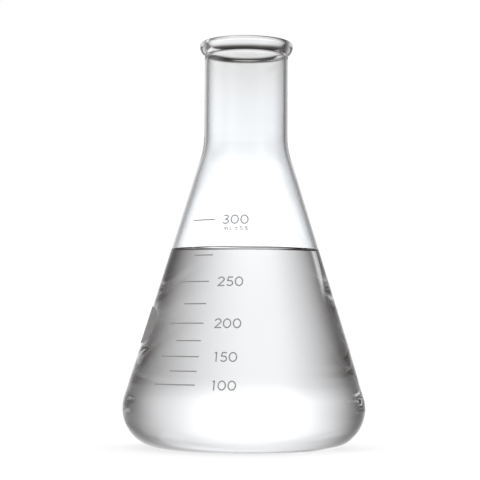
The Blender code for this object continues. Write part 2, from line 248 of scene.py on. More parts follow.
# ---------------------------------------------------------------- node building
class Socket:
    """A node's output that Python's operators work on; each adds a Math node."""

    def __init__(self, maker, socket):
        self.maker = maker
        self.socket = socket

    def __getitem__(self, name):
        return Socket(self.maker, self.socket.node.outputs[name])

    def math(self, operation, *values):
        return self.maker.math(operation, self, *values)

    def __add__(self, other):
        return self.maker.math("ADD", self, other)

    def __radd__(self, other):
        return self.maker.math("ADD", other, self)

    def __sub__(self, other):
        return self.maker.math("SUBTRACT", self, other)

    def __rsub__(self, other):
        return self.maker.math("SUBTRACT", other, self)

    def __mul__(self, other):
        return self.maker.math("MULTIPLY", self, other)

    def __rmul__(self, other):
        return self.maker.math("MULTIPLY", other, self)

    def __truediv__(self, other):
        return self.maker.math("DIVIDE", self, other)

    def __rtruediv__(self, other):
        return self.maker.math("DIVIDE", other, self)

    def __pow__(self, other):
        return self.maker.math("POWER", self, other)

    def __rpow__(self, other):
        return self.maker.math("POWER", other, self)

    def __neg__(self):
        return self.maker.math("MULTIPLY", self, -1.0)


class Maker:
    """Adds nodes to one tree."""

    def __init__(self, tree):
        self.tree = tree

    def node(self, kind, settings=None, values=None, out=0):
        """A node of a type; its settings are made first, then its sockets are fed."""
        made = self.tree.nodes.new(kind)
        for name, value in (settings or {}).items():
            if name == "stops":
                self.set_stops(made.color_ramp, value)
            else:
                setattr(made, name, value)
        for name, value in (values or {}).items():
            self.feed(self.input(made, name), value)
        return Socket(self, made.outputs[out]) if made.outputs else made

    def input(self, made, name):
        """An input by its place, its identifier or its name."""
        if isinstance(name, int):
            return made.inputs[name]
        for socket in made.inputs:
            if socket.identifier == name:
                return socket
        return made.inputs[name]

    def feed(self, socket, value):
        """Link a socket, or give it a value of its own."""
        if isinstance(value, Socket):
            self.tree.links.new(value.socket, socket)
        else:
            socket.default_value = value

    def set_stops(self, ramp, stops):
        """Places and colours of a ramp."""
        while len(ramp.elements) > 1:
            ramp.elements.remove(ramp.elements[-1])
        ramp.elements[0].position, ramp.elements[0].color = stops[0]
        for position, value in stops[1:]:
            ramp.elements.new(position).color = value

    def math(self, operation, *values):
        """A Math node on up to three values."""
        return self.node(
            "ShaderNodeMath", {"operation": operation}, dict(enumerate(values))
        )

    def mix(self, factor, first, second):
        """A colour between two colours."""
        values = {"Factor_Float": factor, "A_Color": first, "B_Color": second}
        return self.node("ShaderNodeMix", {"data_type": "RGBA"}, values, out=2)

    def vector(self, operation, *values, out=0):
        """A Vector Math node."""
        return self.node(
            "ShaderNodeVectorMath", {"operation": operation}, dict(enumerate(values)), out
        )

    def scaled(self, vector, share):
        """A vector or a colour times a number."""
        return self.node(
            "ShaderNodeVectorMath", {"operation": "SCALE"}, {0: vector, "Scale": share}
        )

    def noise(self, vector, size, detail=2.0, roughness=0.5):
        """Noise whose features are about size metres apart."""
        values = {"Vector": vector, "Scale": 1.0 / size, "Detail": detail}
        values["Roughness"] = roughness
        return self.node("ShaderNodeTexNoise", {}, values)

    def range(self, value, low, high, to_low=0.0, to_high=1.0):
        """A value carried from one range to another, smoothly and clamped."""
        values = {"Value": value, "From Min": low, "From Max": high}
        values.update({"To Min": to_low, "To Max": to_high})
        return self.node("ShaderNodeMapRange", {"interpolation_type": "SMOOTHSTEP"}, values)


def four(rgb):
    """A colour with an opaque fourth value."""
    return tuple(rgb) + (1.0,)


def new_material(name):
    """An empty material and the maker of its nodes."""
    made = bpy.data.materials.new(name)
    made.use_nodes = True
    made.node_tree.nodes.clear()
    return made, Maker(made.node_tree)


def finish(name, shade):
    """A material; shade gets the maker and returns the principled shader's sockets."""
    made, maker = new_material(name)
    shader = maker.node("ShaderNodeBsdfPrincipled", {}, shade(maker))
    maker.node("ShaderNodeOutputMaterial", {}, {"Surface": shader})
    return made


# --------------------------------------------------------------------- finishes
def shade_glass(maker, tint, ior):
    """Clear blown glass: a trace of drift in colour and polish.

    A faint painted shade towards the rim, and a darker painted shade where the wall is seen
    edge on, stand in for the shade and dark reflections that a whole room adds there; the
    painted edge shade fades out below the water line.
    """
    place = maker.node("ShaderNodeTexCoord", out="Object")
    drift = maker.noise(place, 0.030)
    wipe = maker.noise(place, 0.004, 4.0)
    drifted = [value * 0.99 for value in tint]
    body = maker.mix(drift, four(tint), four(drifted))
    up = maker.node("ShaderNodeSeparateXYZ", {}, {"Vector": place}, out="Z")
    # Painted shade: the glass colour is darkened towards the rim in place of the room's shade
    # there.
    painted_rim_shade = [tint[0] * 0.925, tint[1] * 0.915, tint[2] * 0.900]
    near_rim = maker.range(up, 0.120, 0.142)
    body = maker.mix(near_rim, body, four(painted_rim_shade))
    # Painted shade: above the water, the glass colour is darkened where the wall is seen edge
    # on, in place of the dark room seen through it.
    facing = maker.node("ShaderNodeLayerWeight", {}, {"Blend": 0.5}, out="Facing")
    edge_on = maker.range(facing, 0.60, 0.90)
    above_water = maker.range(up, 0.040, 0.070)
    painted_edge_shade = [value * 0.45 for value in tint]
    return {
        "Base Color": maker.mix(edge_on * above_water, body, four(painted_edge_shade)),
        "Roughness": maker.range(wipe, 0.62, 0.80, 0.0, 0.012),
        "Transmission Weight": 1.0,
        "IOR": ior,
        "Normal": maker.node(
            "ShaderNodeBump", {}, {"Strength": 0.02, "Distance": 0.0002, "Height": wipe}
        ),
    }


def glass_finish(name, tint, ior):
    """Glass whose faces bend light by a ratio."""
    return finish(name, lambda maker: shade_glass(maker, tint, ior))


def shade_water(maker, tint, ior):
    """Still water with the faintest ripple."""
    place = maker.node("ShaderNodeTexCoord", out="Object")
    ripple = maker.noise(place, 0.010, 1.0)
    darker = [value * 0.985 for value in tint]
    return {
        "Base Color": maker.mix(ripple, four(tint), four(darker)),
        "Roughness": 0.0,
        "Transmission Weight": 1.0,
        "IOR": ior,
        "Normal": maker.node(
            "ShaderNodeBump", {}, {"Strength": 0.03, "Distance": 0.0002, "Height": ripple}
        ),
    }


def water_finish(name, tint, ior):
    """Water whose faces bend light by a ratio."""
    return finish(name, lambda maker: shade_water(maker, tint, ior))


def shade_enamel(maker, tint, grain):
    """Fired enamel: powdery, with pinholes and a slightly uneven coat."""
    place = maker.node("ShaderNodeTexCoord", out="Object")
    cloud = maker.noise(place, 0.0025, 3.0)
    powder = maker.noise(place, grain, 5.0, 0.65)
    pinholes = maker.range(maker.noise(place, grain * 1.7, 2.0), 0.66, 0.74)
    light = [min(value * 1.18, 1.0) for value in tint]
    dark = [value * 0.80 for value in tint]
    base = maker.mix(cloud, four(dark), four(light))
    speck = [value * 0.60 for value in tint]
    hole = [value * 0.35 for value in tint]
    speckled = maker.mix(powder * 0.35, base, four(speck))
    height = powder * 0.6 + cloud * 0.4 - pinholes
    return {
        "Base Color": maker.mix(pinholes, speckled, four(hole)),
        "Roughness": maker.range(powder, 0.2, 0.8, 0.38, 0.66),
        "IOR": 1.5,
        "Normal": maker.node(
            "ShaderNodeBump", {}, {"Strength": 0.35, "Distance": 0.00006, "Height": height}
        ),
    }


def enamel_finish(name, tint, grain):
    """Enamel of a colour, made once for all the pieces that have it."""
    existing = bpy.data.materials.get(name)
    return existing or finish(name, lambda maker: shade_enamel(maker, tint, grain))


# ------------------------------------------------------------------- geometry nodes
def new_tree(name, inputs):
    """An empty geometry tree with named inputs and one geometry output."""
    tree = bpy.data.node_groups.new(name, "GeometryNodeTree")
    for label, kind in inputs:
        tree.interface.new_socket(name=label, in_out="INPUT", socket_type=kind)
    tree.interface.new_socket(name="Geometry", in_out="OUTPUT", socket_type="NodeSocketGeometry")
    return tree, Maker(tree)


def settled(name, mesh, tree, values):
    """A plain mesh object: a tree is run on a mesh and its result is kept."""
    raw = bpy.data.objects.new(name + "_raw", mesh)
    bpy.context.scene.collection.objects.link(raw)
    modifier = raw.modifiers.new("Shape", "NODES")
    modifier.node_group = tree
    for socket in tree.interface.items_tree:
        if socket.in_out == "INPUT" and socket.name in values:
            modifier[socket.identifier] = values[socket.name]
    graph = bpy.context.evaluated_depsgraph_get()
    evaluated = raw.evaluated_get(graph)
    plain = bpy.data.meshes.new_from_object(evaluated, depsgraph=graph)
    raw.modifiers.remove(modifier)
    bpy.data.objects.remove(raw)
    plain.name = name
    return placed(name, plain)


def placed(name, mesh):
    """An object in the scene at the origin."""
    obj = bpy.data.objects.new(name, mesh)
    bpy.context.scene.collection.objects.link(obj)
    return obj


def turning_tree():
    """Turns a profile about the upright axis and gives it waves and, at its heel, rings."""
    tree, maker = new_tree(
        "Turned about the axis",
        [
            ("Profile", "NodeSocketGeometry"),
            ("Turn Steps", "NodeSocketInt"),
            ("Wave Height", "NodeSocketFloat"),
            ("Wave Size", "NodeSocketFloat"),
            ("Ripple Height", "NodeSocketFloat"),
            ("Ripple Size", "NodeSocketFloat"),
            ("Dry Finish", "NodeSocketMaterial"),
            ("Wet Finish", "NodeSocketMaterial"),
        ],
    )
    given = maker.node("NodeGroupInput")
    profile = given["Profile"]
    count = maker.node(
        "GeometryNodeAttributeDomainSize", {"component": "MESH"}, {"Geometry": profile}
    )
    steps = given["Turn Steps"]
    grid = maker.node(
        "GeometryNodeMeshGrid",
        {},
        {"Size X": 1.0, "Size Y": 1.0, "Vertices X": steps + 1.0, "Vertices Y": count},
    )
    index = maker.node("GeometryNodeInputIndex")
    column = (index / count).math("FLOOR")
    row = index - column * count

    def sampled(kind, value, out=0):
        return maker.node(
            "GeometryNodeSampleIndex",
            {"data_type": kind, "domain": "POINT", "clamp": True},
            {"Geometry": profile, "Value": value, "Index": row},
            out,
        )

    def named(label):
        return maker.node(
            "GeometryNodeInputNamedAttribute", {"data_type": "FLOAT"}, {"Name": label}
        )

    point = sampled("FLOAT_VECTOR", maker.node("GeometryNodeInputPosition"))
    parts = maker.node("ShaderNodeSeparateXYZ", {}, {"Vector": point})
    azimuth = column / steps * (2 * math.pi)
    reach = parts["X"]
    turned = maker.node(
        "ShaderNodeCombineXYZ",
        {},
        {
            "X": reach * azimuth.math("SINE"),
            "Y": -(reach * azimuth.math("COSINE")),
            "Z": parts["Z"],
        },
    )

    def noise_at(vector, **values):
        """Noise in space; its features are one over Scale metres apart."""
        values["Vector"] = vector
        return maker.node("ShaderNodeTexNoise", {"noise_dimensions": "3D"}, values)

    wave = noise_at(turned, Scale=1.0 / given["Wave Size"], Detail=1.0)
    waves = (wave - 0.5) * given["Wave Height"] * 2.0 * sampled("FLOAT", named("wave"))
    stretched = maker.vector("MULTIPLY", turned, (0.22, 0.22, 1.0))
    ring = noise_at(stretched, Scale=1.0 / given["Ripple Size"], Detail=2.0)
    patch = maker.range(noise_at(turned, Scale=22.0), 0.40, 0.62, 0.25, 1.0)
    sideways = maker.node("ShaderNodeSeparateXYZ", {}, {"Vector": turned}, out="X")
    stronger_right = maker.range(sideways, -0.005, 0.030, 0.7, 3.0)
    rings = ring * patch * stronger_right * given["Ripple Height"]
    amount = waves - rings * sampled("FLOAT", named("ripple"))
    outward = maker.vector("NORMALIZE", maker.vector("MULTIPLY", turned, (1.0, 1.0, 0.0)))
    push = maker.scaled(outward, amount)
    shaped = maker.node(
        "GeometryNodeSetPosition",
        {},
        {"Geometry": grid, "Position": maker.vector("ADD", turned, push)},
    )
    wet = maker.node(
        "GeometryNodeStoreNamedAttribute",
        {"data_type": "FLOAT", "domain": "POINT"},
        {"Geometry": shaped, "Name": "wet", "Value": sampled("FLOAT", named("wet"))},
    )
    merged = maker.node(
        "GeometryNodeMergeByDistance", {}, {"Geometry": wet, "Distance": SAME_TURNED_POINT}
    )
    smooth = maker.node("GeometryNodeSetShadeSmooth", {}, {"Geometry": merged})
    whole = maker.node("GeometryNodeRealizeInstances", {}, {"Geometry": smooth})
    dry = maker.node(
        "GeometryNodeSetMaterial", {}, {"Geometry": whole, "Material": given["Dry Finish"]}
    )
    soaked = maker.node(
        "GeometryNodeSetMaterial",
        {},
        {
            "Geometry": dry,
            "Selection": named("wet").math("GREATER_THAN", 0.999),
            "Material": given["Wet Finish"],
        },
    )
    maker.node("NodeGroupOutput", {}, {"Geometry": soaked})
    return tree


def line_tree():
    """Lays one line of enamel round the cone, a little uneven, with round ends."""
    tree, maker = new_tree(
        "Line of enamel",
        [
            ("Radius", "NodeSocketFloat"),
            ("Height", "NodeSocketFloat"),
            ("Start", "NodeSocketFloat"),
            ("End", "NodeSocketFloat"),
            ("Width", "NodeSocketFloat"),
            ("Lift", "NodeSocketFloat"),
            ("Thickness", "NodeSocketFloat"),
            ("Cone Angle", "NodeSocketFloat"),
            ("Seed", "NodeSocketFloat"),
            ("Finish", "NodeSocketMaterial"),
        ],
    )
    given = maker.node("NodeGroupInput")
    steps_along, steps_across = 121, 5
    grid = maker.node(
        "GeometryNodeMeshGrid",
        {},
        {"Size X": 1.0, "Size Y": 1.0, "Vertices X": steps_along, "Vertices Y": steps_across},
    )
    spot = maker.node("GeometryNodeInputPosition")
    parts = maker.node("ShaderNodeSeparateXYZ", {}, {"Vector": spot})
    along = parts["X"] + 0.5
    span = (given["End"] - given["Start"]) * given["Radius"]
    to_end = along.math("MINIMUM", 1.0 - along) * span
    half = given["Width"] * 0.5
    near = (1.0 - to_end / half).math("MAXIMUM", 0.0)
    roundness = (1.0 - near * near).math("MAXIMUM", 0.04).math("SQRT")
    seat = maker.node(
        "ShaderNodeCombineXYZ", {}, {"X": along * span, "Y": parts["Y"], "Z": given["Seed"]}
    )
    ragged = maker.noise(seat, LINE_GRAIN, 3.0)
    drawn_out = maker.vector("MULTIPLY", seat, (0.15, 0.0, 1.0))
    wander = maker.noise(drawn_out, LINE_GRAIN, 1.0)
    width = given["Width"] * roundness * (0.90 + ragged * 0.22)
    up = parts["Y"] * width + (wander - 0.5) * given["Width"] * 0.25
    azimuth = given["Start"] + along * (given["End"] - given["Start"])
    slope = given["Cone Angle"]

    def on_wall(depth):
        reach = given["Radius"] - up * slope.math("SINE") + depth * slope.math("COSINE")
        height = given["Height"] + up * slope.math("COSINE") + depth * slope.math("SINE")
        return maker.node(
            "ShaderNodeCombineXYZ",
            {},
            {
                "X": reach * azimuth.math("SINE"),
                "Y": -(reach * azimuth.math("COSINE")),
                "Z": height,
            },
        )

    def moved(depth):
        return maker.node(
            "GeometryNodeSetPosition", {}, {"Geometry": grid, "Position": on_wall(depth)}
        )

    crown = (1.0 - (parts["Y"] * 2.0) ** 4.0) * roundness
    outer = moved(given["Lift"] + given["Thickness"] * (0.35 + crown * 0.65))
    inner = maker.node("GeometryNodeFlipFaces", {}, {"Mesh": moved(given["Lift"])})
    both = maker.node("GeometryNodeJoinGeometry")
    joined = both.socket.node
    tree.links.new(inner.socket, joined.inputs[0])
    tree.links.new(outer.socket, joined.inputs[0])
    whole = maker.node("GeometryNodeRealizeInstances", {}, {"Geometry": both})
    made = maker.node(
        "GeometryNodeSetMaterial", {}, {"Geometry": whole, "Material": given["Finish"]}
    )
    maker.node("NodeGroupOutput", {}, {"Geometry": made})
    return tree


# ------------------------------------------------------------------ turned shapes
def arc(centre, radius, stops, facet):
    """Points of a round stretch of a profile; every angle in stops gets a point."""
    angles = [stops[0]]
    for start, end in zip(stops, stops[1:]):
        steps = math.ceil(abs(end - start) / facet)
        angles += [start + (end - start) * step / steps for step in range(1, steps + 1)]
    points = []
    for turn in angles:
        points.append((centre[0] + radius * math.cos(turn), centre[1] + radius * math.sin(turn)))
    return points


class FlaskShape:
    """The flask's profile, worked out from the glass settings."""

    def __init__(self, glass):
        self.glass = glass
        self.sine = math.sin(glass.cone_angle)
        self.cosine = math.cos(glass.cone_angle)
        self.neck_radius = glass.neck_diameter / 2
        self.heel_centre = glass.body_diameter / 2 - glass.heel_radius
        self.foot_radius = self.heel_centre + glass.heel_radius * self.cosine
        self.foot_height = glass.heel_radius * (1 + self.sine)

    def cone_radius(self, height):
        """Outer radius of the straight cone at a height."""
        return self.foot_radius - (height - self.foot_height) * self.sine / self.cosine

    def heel(self, centre, radius):
        """Rounding from the flat base, past the widest place, to the cone."""
        stops = [-math.pi / 2, 0.0, self.glass.cone_angle]
        return arc(centre, radius, stops, HEEL_FACET)

    def shoulder(self, neck_radius, radius, inset):
        """Rounding from the cone, set in by a wall, to a neck of a given radius."""
        centre = neck_radius + radius
        reach = radius - inset - self.cosine * (centre - self.foot_radius)
        height = self.foot_height + reach / self.sine
        stops = [math.pi + self.glass.cone_angle, math.pi]
        return arc((centre, height), radius, stops, SHOULDER_FACET)

    def pushed_up(self, radius, edge):
        """Rise of the base at a radius, fading to nothing at an edge."""
        share = min(radius / edge, 1.0)
        return self.glass.base_rise * (1 - share * share) ** 2

    def underside(self):
        """Bottom of the glass from the axis to the standing ring."""
        edge = self.heel_centre - self.glass.ring_width
        radii = [edge * index / BASE_STEPS for index in range(BASE_STEPS + 1)]
        return [(radius, self.pushed_up(radius, edge)) for radius in radii]

    def rim(self):
        """The bead: out from the neck, round its top and into the mouth."""
        glass = self.glass
        radius = (glass.neck_wall + glass.bead_overhang) / 2
        centre = self.neck_radius - glass.neck_wall + radius
        level = glass.height - radius
        drop = glass.bead_height - radius
        sweep = math.radians(68.0)
        steps = 12
        lower = []
        for step in range(steps + 1):
            turn = sweep * (1 - step / steps)
            reach = (math.cos(turn) - math.cos(sweep)) / (1 - math.cos(sweep))
            fall = math.sin(turn) / math.sin(sweep)
            lower.append((self.neck_radius + glass.bead_overhang * reach, level - drop * fall))
        upper = arc((centre, level), radius, [0.0, math.pi / 2, math.pi], BEAD_FACET)
        return lower[1:] + upper[1:]

    def outer_wall(self):
        """Outside of the glass, from the standing ring to the foot of the bead."""
        glass = self.glass
        foot = self.heel((self.heel_centre, glass.heel_radius), glass.heel_radius)
        neck = [(self.neck_radius, glass.height - glass.bead_height)]
        return foot + self.shoulder(self.neck_radius, glass.shoulder_radius, 0.0) + neck

    def inner_wall(self, clearance=0.0):
        """Inside of the glass from the axis to the neck, set in by a clearance."""
        glass = self.glass
        floor = glass.base_thickness + clearance
        radius = glass.inner_heel_radius - clearance
        inset = glass.cone_wall + clearance
        reach = radius + inset + self.sine * (floor + radius - self.foot_height)
        centre = self.foot_radius - reach / self.cosine
        radii = [centre * index / BASE_STEPS for index in range(BASE_STEPS)]
        base = [(step, floor + self.pushed_up(step, centre)) for step in radii]
        corner = self.heel((centre, floor + radius), radius)
        neck = self.neck_radius - glass.neck_wall - clearance
        return base + corner + self.shoulder(neck, glass.shoulder_radius + inset, inset)

    def contents(self, level):
        """Volume that the flask holds up to a height, or up to its neck if that is lower."""
        total = 0.0
        wall = up_to(self.inner_wall(), level)
        for (low, low_z), (high, high_z) in zip(wall, wall[1:]):
            total += math.pi * (high_z - low_z) * (low * low + low * high + high * high) / 3
        return total

    def mark_height(self, reading, scale):
        """Height of the scale line that is printed for a reading in millilitres."""
        low = self.glass.base_thickness + self.glass.base_rise
        high = self.glass.height - self.glass.bead_height
        true_reading = reading + scale.drift * (reading - scale.true_at)
        volume = self.contents(high) * true_reading / BELOW_NECK_READING
        for _ in range(50):
            middle = (low + high) / 2
            if self.contents(middle) < volume:
                low = middle
            else:
                high = middle
        return middle + (scale.top_lift if reading == TOP_READING else 0.0)


def up_to(profile, level):
    """The part of a rising profile below a height, ended exactly at it."""
    kept = []
    for start, end in zip(profile, profile[1:]):
        kept.append(start)
        if start[1] < level <= end[1]:
            share = (level - start[1]) / (end[1] - start[1])
            kept.append((start[0] + (end[0] - start[0]) * share, level))
            break
    else:
        kept.append(profile[-1])
    return kept


def finer(profile, longest):
    """The same profile with its long stretches divided."""
    points = [profile[0]]
    for start, end in zip(profile, profile[1:]):
        steps = max(1, math.ceil(math.dist(start, end) / longest))
        for step in range(1, steps + 1):
            share = step / steps
            points.append(
                (start[0] + (end[0] - start[0]) * share, start[1] + (end[1] - start[1]) * share)
            )
    return points


def ripple_share(point, glass):
    """Share of the heel's ripples at a point of the outside, 1 on the heel."""
    height = point[1]
    above = min(max((glass.heel_radius * 2.6 - height) / glass.heel_radius, 0.0), 1.0)
    below = min(max((height - 0.0004) / 0.004, 0.0), 1.0)
    return above * below


def profile_mesh(points, waves, wets, ripples):
    """A polyline with each point's share of the waves, of the water and of the ripples."""
    mesh = bpy.data.meshes.new("profile")
    verts = [(radius, 0.0, height) for radius, height in points]
    mesh.from_pydata(verts, [(i, i + 1) for i in range(len(verts) - 1)], [])
    for name, values in (("wave", waves), ("wet", wets), ("ripple", ripples)):
        mesh.attributes.new(name, "FLOAT", "POINT").data.foreach_set("value", values)
    return mesh


# ------------------------------------------------------------------ flat lettering
def ellipse_arc(centre, radii, start, end):
    """Points along a round stroke, angles in degrees, counted anticlockwise."""
    sweep = math.radians(end - start)
    steps = max(3, math.ceil(abs(sweep) / STROKE_FACET))
    points = []
    for index in range(steps + 1):
        turn = math.radians(start) + sweep * index / steps
        points.append(
            (centre[0] + radii[0] * math.cos(turn), centre[1] + radii[1] * math.sin(turn))
        )
    return points


def ring(centre, radii):
    """A closed round stroke; its first point is repeated at its end."""
    points = ellipse_arc(centre, radii, 0, 360)
    return points[:-1] + points[:1]


def glyph(name, pen):
    """Width and pen strokes of one character, for a height of 1 and a pen width."""
    half = pen / 2
    top = 1 - half
    if name == "0":
        width = 0.83
        strokes = [ring((width / 2, 0.5), (width / 2 - half, 0.5 - half))]
    elif name == "1":
        width = 0.27
        strokes = [[(width - half, 0), (width - half, 1)], [(0.02, 0.88), (width - half, top)]]
    elif name == "2":
        width = 0.71
        bowl = ellipse_arc((0.36, 0.70), (0.29, 0.30 - half), 172, -48)
        strokes = [bowl + [(0.09, half)], [(0.02, half), (width, half)]]
    elif name == "3":
        width = 0.62
        upper = ellipse_arc((0.29, 0.745), (0.22, 0.255 - half), 150, -90)
        lower = ellipse_arc((0.27, 0.275), (width - 0.27 - half, 0.275 - half), 90, -155)
        strokes = [upper, [(0.20, 0.52), (0.32, 0.52)], lower]
    elif name == "5":
        width = 0.72
        bowl = ellipse_arc((0.36, 0.32), (width - 0.36 - half, 0.32 - half), 128, -150)
        strokes = [[(0.68, top), (0.24, top)], [(0.25, 1), (0.14, 0.53)], bowl]
    elif name == "m":
        width = 1.0
        first = ellipse_arc((0.27, 0.50), (0.27 - half, 0.20 - half), 180, 0)
        second = ellipse_arc((width - 0.27, 0.50), (0.27 - half, 0.20 - half), 180, 0)
        strokes = [[(half, 0), (half, 0.70)], first + [(0.54 - half, 0)]]
        strokes.append([(width - 0.54 + half, 0)] + second + [(width - half, 0)])
    elif name == "L":
        width = 0.50
        strokes = [[(half, 1), (half, half), (width, half)]]
    elif name == "plus":
        width = 0.62
        strokes = [[(0, 0.62), (width, 0.62)], [(width / 2, 0.31), (width / 2, 0.93)]]
    elif name == "bar":
        width = 0.62
        strokes = [[(0, half), (width, half)]]
    elif name == "slash":
        width = 0.56
        strokes = [[(0, 0), (width, 1)]]
    else:
        width = 0.40
        strokes = [ring((width / 2, width / 2), (width / 2 - half, width / 2 - half))]
    return width, strokes


def ribbon(path, width):
    """A pen stroke as a row of quads on both sides of its path."""
    points = [Vector(point) for point in path]
    closed = (points[0] - points[-1]).length < width * 0.01
    last = len(points) - 1
    sides = []
    for index, point in enumerate(points):
        before = points[index - 1] if index else (points[last - 1] if closed else None)
        after = points[index + 1] if index < last else (points[1] if closed else None)
        directions = []
        if before is not None:
            directions.append((point - before).normalized())
        if after is not None:
            directions.append((after - point).normalized())
        heading = sum(directions, Vector((0, 0))).normalized()
        across = Vector((-heading.y, heading.x))
        mitre = width / 2 / heading.dot(directions[0])
        sides.append((point + across * mitre, point - across * mitre))
    quads = []
    for (left, right), (next_left, next_right) in zip(sides, sides[1:]):
        quads.append([left, right, next_right, next_left])
    return quads


def outlined(quads):
    """One flat triangulated shape out of quads that may overlap."""
    corners = []
    faces = []
    for quad in quads:
        faces.append(list(range(len(corners), len(corners) + len(quad))))
        corners.extend(quad)
    result = delaunay_2d_cdt(corners, [], faces, 1, SAME_FLAT_POINT)
    points, _, triangles, _, _, sources = result
    return points, [tri for tri, source in zip(triangles, sources) if source]


def enamel_mesh(name, flat, triangles, seat, thickness):
    """A thin coat in a flat shape, laid on the cone; seat carries flat points onto it."""
    shape = bmesh.new()
    outer = [shape.verts.new(seat(point, thickness)) for point in flat]
    inner = [shape.verts.new(seat(point, 0.0)) for point in flat]
    used = set()
    for tri in triangles:
        shape.faces.new([outer[index] for index in tri])
        shape.faces.new([inner[index] for index in reversed(tri)])
        for start, end in zip(tri, tri[1:] + tri[:1]):
            used.add((start, end))
    for start, end in sorted(used):
        if (end, start) not in used:
            shape.faces.new([outer[end], outer[start], inner[start], inner[end]])
    loose = [vert for vert in shape.verts if not vert.link_faces]
    bmesh.ops.delete(shape, geom=loose, context="VERTS")
    bmesh.ops.recalc_face_normals(shape, faces=shape.faces)
    mesh = bpy.data.meshes.new(name)
    shape.to_mesh(mesh)
    shape.free()
    mesh.shade_smooth()
    mesh.set_sharp_from_angle(angle=PRINT_CREASE)
    return mesh


def weld(mesh):
    """Close a coat round its edge and turn its faces outward."""
    shape = bmesh.new()
    shape.from_mesh(mesh)
    edges = [edge for edge in shape.edges if edge.is_boundary]
    bmesh.ops.bridge_loops(shape, edges=edges)
    bmesh.ops.recalc_face_normals(shape, faces=shape.faces)
    shape.to_mesh(mesh)
    shape.free()
    mesh.shade_smooth()
    mesh.set_sharp_from_angle(angle=LINE_CREASE)


def wall_seat(shape, height, azimuth, lift):
    """A function that bends flat points onto the cone: x runs round it and y up it."""
    radius = shape.cone_radius(height)

    def seat(point, depth):
        turn = azimuth + point[0] / radius
        off = lift + depth
        reach = radius - point[1] * shape.sine + off * shape.cosine
        rise = height + point[1] * shape.cosine + off * shape.sine
        return reach * math.sin(turn), -reach * math.cos(turn), rise

    return seat


def character_quads(name, height, stroke, left, base):
    """Quads of one character whose lower left corner is at (left, base)."""
    width, strokes = glyph(name, stroke / height)
    quads = []
    for path in strokes:
        quads += ribbon([(left + x * height, base + y * height) for x, y in path], stroke)
    return quads, width * height


def add_character(name, node, quads, place, scale, shape):
    """One enamel character as a piece of its own."""
    flat, triangles = outlined(quads)
    seat = wall_seat(shape, place[0], place[1], ENAMEL_LIFT)
    mesh = enamel_mesh(name, flat, triangles, seat, scale.thickness)
    mesh.materials.append(enamel_finish("grey enamel", scale.enamel, SCALE_GRAIN))
    tie(placed(name, mesh), "grey_enamel", node)


def tie(obj, slot, *nodes):
    """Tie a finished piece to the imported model."""
    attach(obj, "root")
    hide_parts(*nodes)


# -------------------------------------------------------------------- operators
class FLASK_OT_add_glass(bpy.types.Operator):
    """Add the blown glass body"""

    bl_idname = "flask.add_glass"
    bl_label = "Add Glass Body"

    def execute(self, context):
        glass = context.scene.flask_glass
        water = context.scene.flask_water
        shape = FlaskShape(glass)
        level = water.level + water.meniscus_rise
        wall = finer(shape.inner_wall(), WALL_STEP)
        inside = up_to(wall, level)
        inside += [point for point in wall if point[1] > level + SAME_HEIGHT]
        outside = shape.underside() + finer(shape.outer_wall(), WALL_STEP) + shape.rim()
        inward = list(reversed(inside))
        points = outside + inward
        wets = [0.0] * len(outside)
        wets += [1.0 if point[1] <= level + SAME_HEIGHT else 0.0 for point in inward]
        waves = [0.0] * len(outside) + [1.0] * len(inward)
        ripples = [ripple_share(point, glass) for point in outside] + [0.0] * len(inward)
        made = settled(
            "glass_body",
            profile_mesh(points, waves, wets, ripples),
            turning_tree(),
            {
                "Turn Steps": glass.turn_steps,
                "Wave Height": glass.wave_height,
                "Wave Size": glass.wave_size,
                "Ripple Height": glass.ripple_height,
                "Ripple Size": glass.ripple_size,
                "Dry Finish": glass_finish("clear glass", glass.tint, GLASS_IN_AIR),
                "Wet Finish": glass_finish("wetted glass", WHITE[:3], GLASS_IN_WATER),
            },
        )
        tie(made, "clear_glass", "flask_body")
        return {"FINISHED"}


class FLASK_OT_add_water(bpy.types.Operator):
    """Add the water with its meniscus"""

    bl_idname = "flask.add_water"
    bl_label = "Add Water"

    def execute(self, context):
        water = context.scene.flask_water
        glass = context.scene.flask_glass
        shape = FlaskShape(glass)
        level = water.level + water.meniscus_rise
        wall = up_to(finer(shape.inner_wall(WATER_GAP), WALL_STEP), level)
        edge = wall[-1][0]
        reaches, steps_in_reach = 6, 4
        surface = []
        for index in range(1, reaches * steps_in_reach + 1):
            inward = water.meniscus_reach * index / steps_in_reach
            rise = water.meniscus_rise * math.exp(-inward / water.meniscus_reach)
            surface.append((edge - inward, water.level + rise))
        surface.append((edge * 0.5, water.level))
        surface.append((0.0, water.level))
        points = wall + surface
        waves = [1.0] * len(wall) + [0.0] * len(surface)
        wets = [1.0] * len(wall) + [0.0] * len(surface)
        made = settled(
            "water_body",
            profile_mesh(points, waves, wets, [0.0] * len(points)),
            turning_tree(),
            {
                "Turn Steps": glass.turn_steps,
                "Wave Height": glass.wave_height,
                "Wave Size": glass.wave_size,
                "Ripple Height": 0.0,
                "Ripple Size": glass.ripple_size,
                "Dry Finish": water_finish("water surface", WHITE[:3], WATER_IN_AIR),
                "Wet Finish": water_finish("water against glass", water.tint, WATER_AT_GLASS),
            },
        )
        tie(made, "clear_water", "water")
        return {"FINISHED"}


